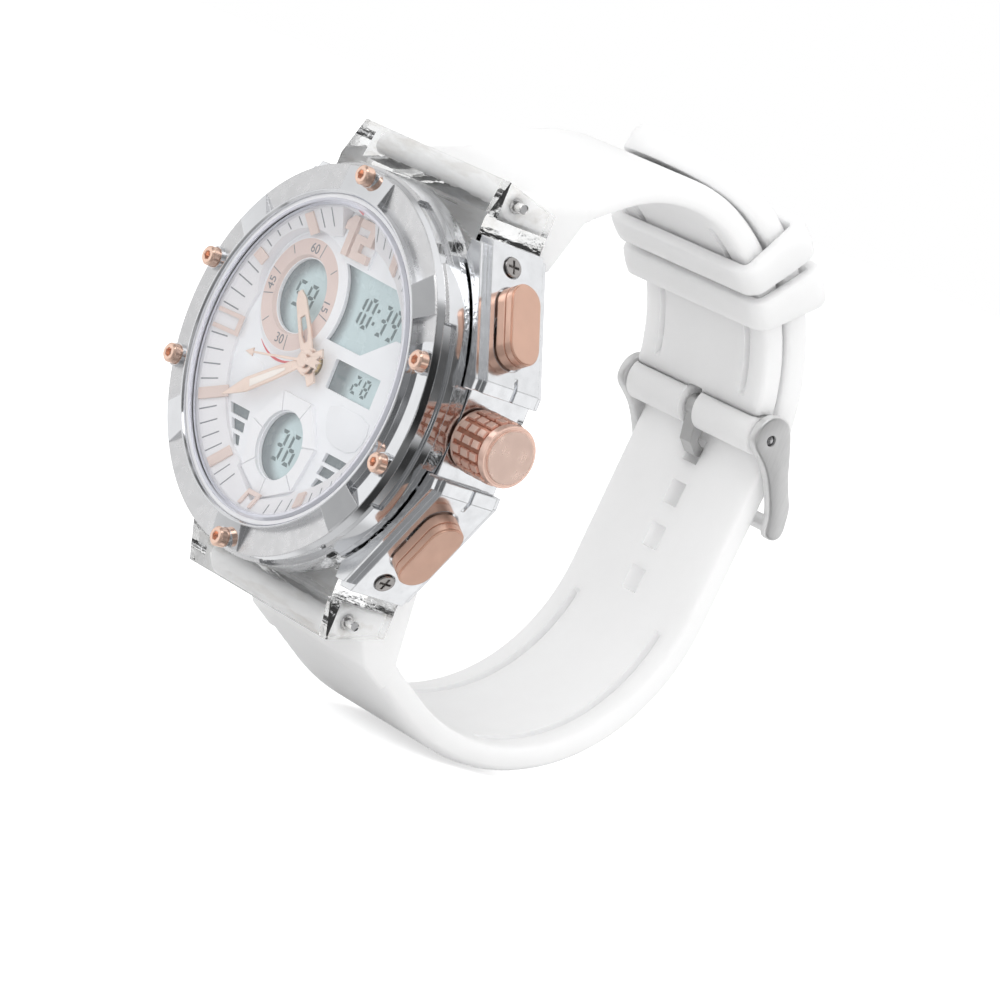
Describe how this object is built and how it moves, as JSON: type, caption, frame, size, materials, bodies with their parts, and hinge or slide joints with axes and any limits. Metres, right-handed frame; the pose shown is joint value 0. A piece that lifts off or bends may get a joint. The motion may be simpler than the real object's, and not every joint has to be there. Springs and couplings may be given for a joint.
{
  "type": "wristwatch",
  "caption": "Round sports watch with hands and digital windows, clear resin case, side guards with pushers, crown and a closed rubber strap with buckle.",
  "frame": {"origin": "middle of the case back's outer face", "axes": "-Y out of the dial, +Y through the wrist loop, +Z to 12 o'clock, +X to the crown at 3 o'clock"},
  "size_m": [0.0516, 0.0634, 0.07],
  "materials": {
    "clear_resin": "clear, polished",
    "chrome": "polished plating",
    "steel": "brushed",
    "rose_gold": "rose gold plating, satin",
    "crystal": "clear mineral glass",
    "white_plastic": "fine matt",
    "dial_white": "silvery white lacquer",
    "display": "greenish grey liquid crystal panel",
    "light_plastic": "frosted",
    "black_rubber": "smooth",
    "strap_silicone": "milky, translucent, satin",
    "board_green": "solder mask",
    "brass": "turned",
    "contact_pink": "layered conducting rubber"
  },
  "bodies": {
    "head": {"outer_case": "clear_resin", "middle_case": "chrome", "bezel": "chrome", "bezel_screws": "rose_gold", "crystal": "crystal", "crystal_gasket": "white_plastic", "chapter_ring": "white_plastic", "dial": "dial_white", "seconds_ring": "rose_gold", "weekday_ring": "white_plastic", "hour_markers": "rose_gold", "lcd_panel": "display", "light_guide": "light_plastic", "contact_strips": "contact_pink", "movement_holder": "white_plastic", "circuit_board": "board_green", "battery": "steel", "battery_clip": "steel", "buzzer_disc": "brass", "quartz_movement": "brass", "case_back": "steel", "case_back_gasket": "black_rubber", "case_back_screws": "steel", "right_guard": "chrome", "left_guard": "chrome", "guard_screws": "steel", "pusher_springs": "steel", "pusher_seals": "black_rubber", "crown_tube": "steel", "strap_upper": "strap_silicone", "strap_lower": "strap_silicone", "fixed_keeper": "strap_silicone", "spring_bar_top": "steel", "spring_bar_bottom": "steel"},
    "seconds": {"second_arbor": "steel", "second_hand": "rose_gold"},
    "minutes": {"cannon_pinion": "brass", "minute_hand": "rose_gold"},
    "hours": {"hour_wheel": "brass", "hour_hand": "rose_gold"},
    "setting": {"setting_pinion": "brass"},
    "winding_crown": {"crown": "rose_gold", "crown_stem": "steel", "crown_seal": "black_rubber"},
    "pusher_2": {"pusher_cap_2": "rose_gold", "pusher_stem_2": "steel"},
    "pusher_4": {"pusher_cap_4": "rose_gold", "pusher_stem_4": "steel"},
    "pusher_8": {"pusher_cap_8": "rose_gold", "pusher_stem_8": "steel"},
    "pusher_10": {"pusher_cap_10": "rose_gold", "pusher_stem_10": "steel"},
    "keeper": {"loose_keeper": "strap_silicone"},
    "tip_top_right": {"bar_tip_top_right": "steel"},
    "tip_top_left": {"bar_tip_top_left": "steel"},
    "tip_bottom_right": {"bar_tip_bottom_right": "steel"},
    "tip_bottom_left": {"bar_tip_bottom_left": "steel"},
    "buckle": {"buckle_frame": "steel", "buckle_pin": "steel"},
    "tongue": {"buckle_tongue": "steel"}
  },
  "joints": [
    {"name": "seconds_turn", "type": "hinge", "parent": "head", "child": "seconds", "pos_m": [0, -0.0125, 0], "axis": [0, 1, 0], "continuous": true},
    {"name": "minutes_turn", "type": "hinge", "parent": "head", "child": "minutes", "pos_m": [0, -0.0125, 0], "axis": [0, 1, 0], "continuous": true},
    {"name": "hours_turn", "type": "hinge", "parent": "head", "child": "hours", "pos_m": [0, -0.0125, 0], "axis": [0, 1, 0], "continuous": true},
    {"name": "setting_turn", "type": "hinge", "parent": "head", "child": "setting", "pos_m": [0.015, -0.0067, 0], "axis": [1, 0, 0], "continuous": true},
    {"name": "crown_pull", "type": "slide", "parent": "setting", "child": "winding_crown", "axis": [1, 0, 0], "range_m": [0, 0.001]},
    {"name": "pusher_2_press", "type": "slide", "parent": "head", "child": "pusher_2", "axis": [-0.866, 0, -0.5], "range_m": [0, 0.0006], "stiffness_N_per_m": 2000},
    {"name": "pusher_4_press", "type": "slide", "parent": "head", "child": "pusher_4", "axis": [-0.866, 0, 0.5], "range_m": [0, 0.0006], "stiffness_N_per_m": 2000},
    {"name": "pusher_8_press", "type": "slide", "parent": "head", "child": "pusher_8", "axis": [0.866, 0, 0.5], "range_m": [0, 0.0006], "stiffness_N_per_m": 2000},
    {"name": "pusher_10_press", "type": "slide", "parent": "head", "child": "pusher_10", "axis": [0.866, 0, -0.5], "range_m": [0, 0.0006], "stiffness_N_per_m": 2000},
    {"name": "keeper_slide", "type": "hinge", "parent": "head", "child": "keeper", "pos_m": [0, 0.016, 0.0074], "axis": [1, 0, 0], "range_deg": [-2, 12]},
    {"name": "tip_top_right_in", "type": "slide", "parent": "head", "child": "tip_top_right", "axis": [-1, 0, 0], "range_m": [0, 0.0019], "stiffness_N_per_m": 500},
    {"name": "tip_top_left_in", "type": "slide", "parent": "head", "child": "tip_top_left", "axis": [1, 0, 0], "range_m": [0, 0.0019], "stiffness_N_per_m": 500},
    {"name": "tip_bottom_right_in", "type": "slide", "parent": "head", "child": "tip_bottom_right", "axis": [-1, 0, 0], "range_m": [0, 0.0019], "stiffness_N_per_m": 500},
    {"name": "tip_bottom_left_in", "type": "slide", "parent": "head", "child": "tip_bottom_left", "axis": [1, 0, 0], "range_m": [0, 0.0019], "stiffness_N_per_m": 500},
    {"name": "buckle_pivot", "type": "hinge", "parent": "head", "child": "buckle", "pos_m": [0, 0.03954, 0.00905], "axis": [1, 0, 0], "range_deg": [0, 3]},
    {"name": "tongue_pivot", "type": "hinge", "parent": "buckle", "child": "tongue", "pos_m": [0, 0.03954, 0.00905], "axis": [1, 0, 0], "range_deg": [0, 3]}
  ],
  "couplings": [
    {"joint": "minutes_turn", "follows": "seconds_turn", "ratio": 0.016667},
    {"joint": "hours_turn", "follows": "seconds_turn", "ratio": 0.0013889}
  ]
}
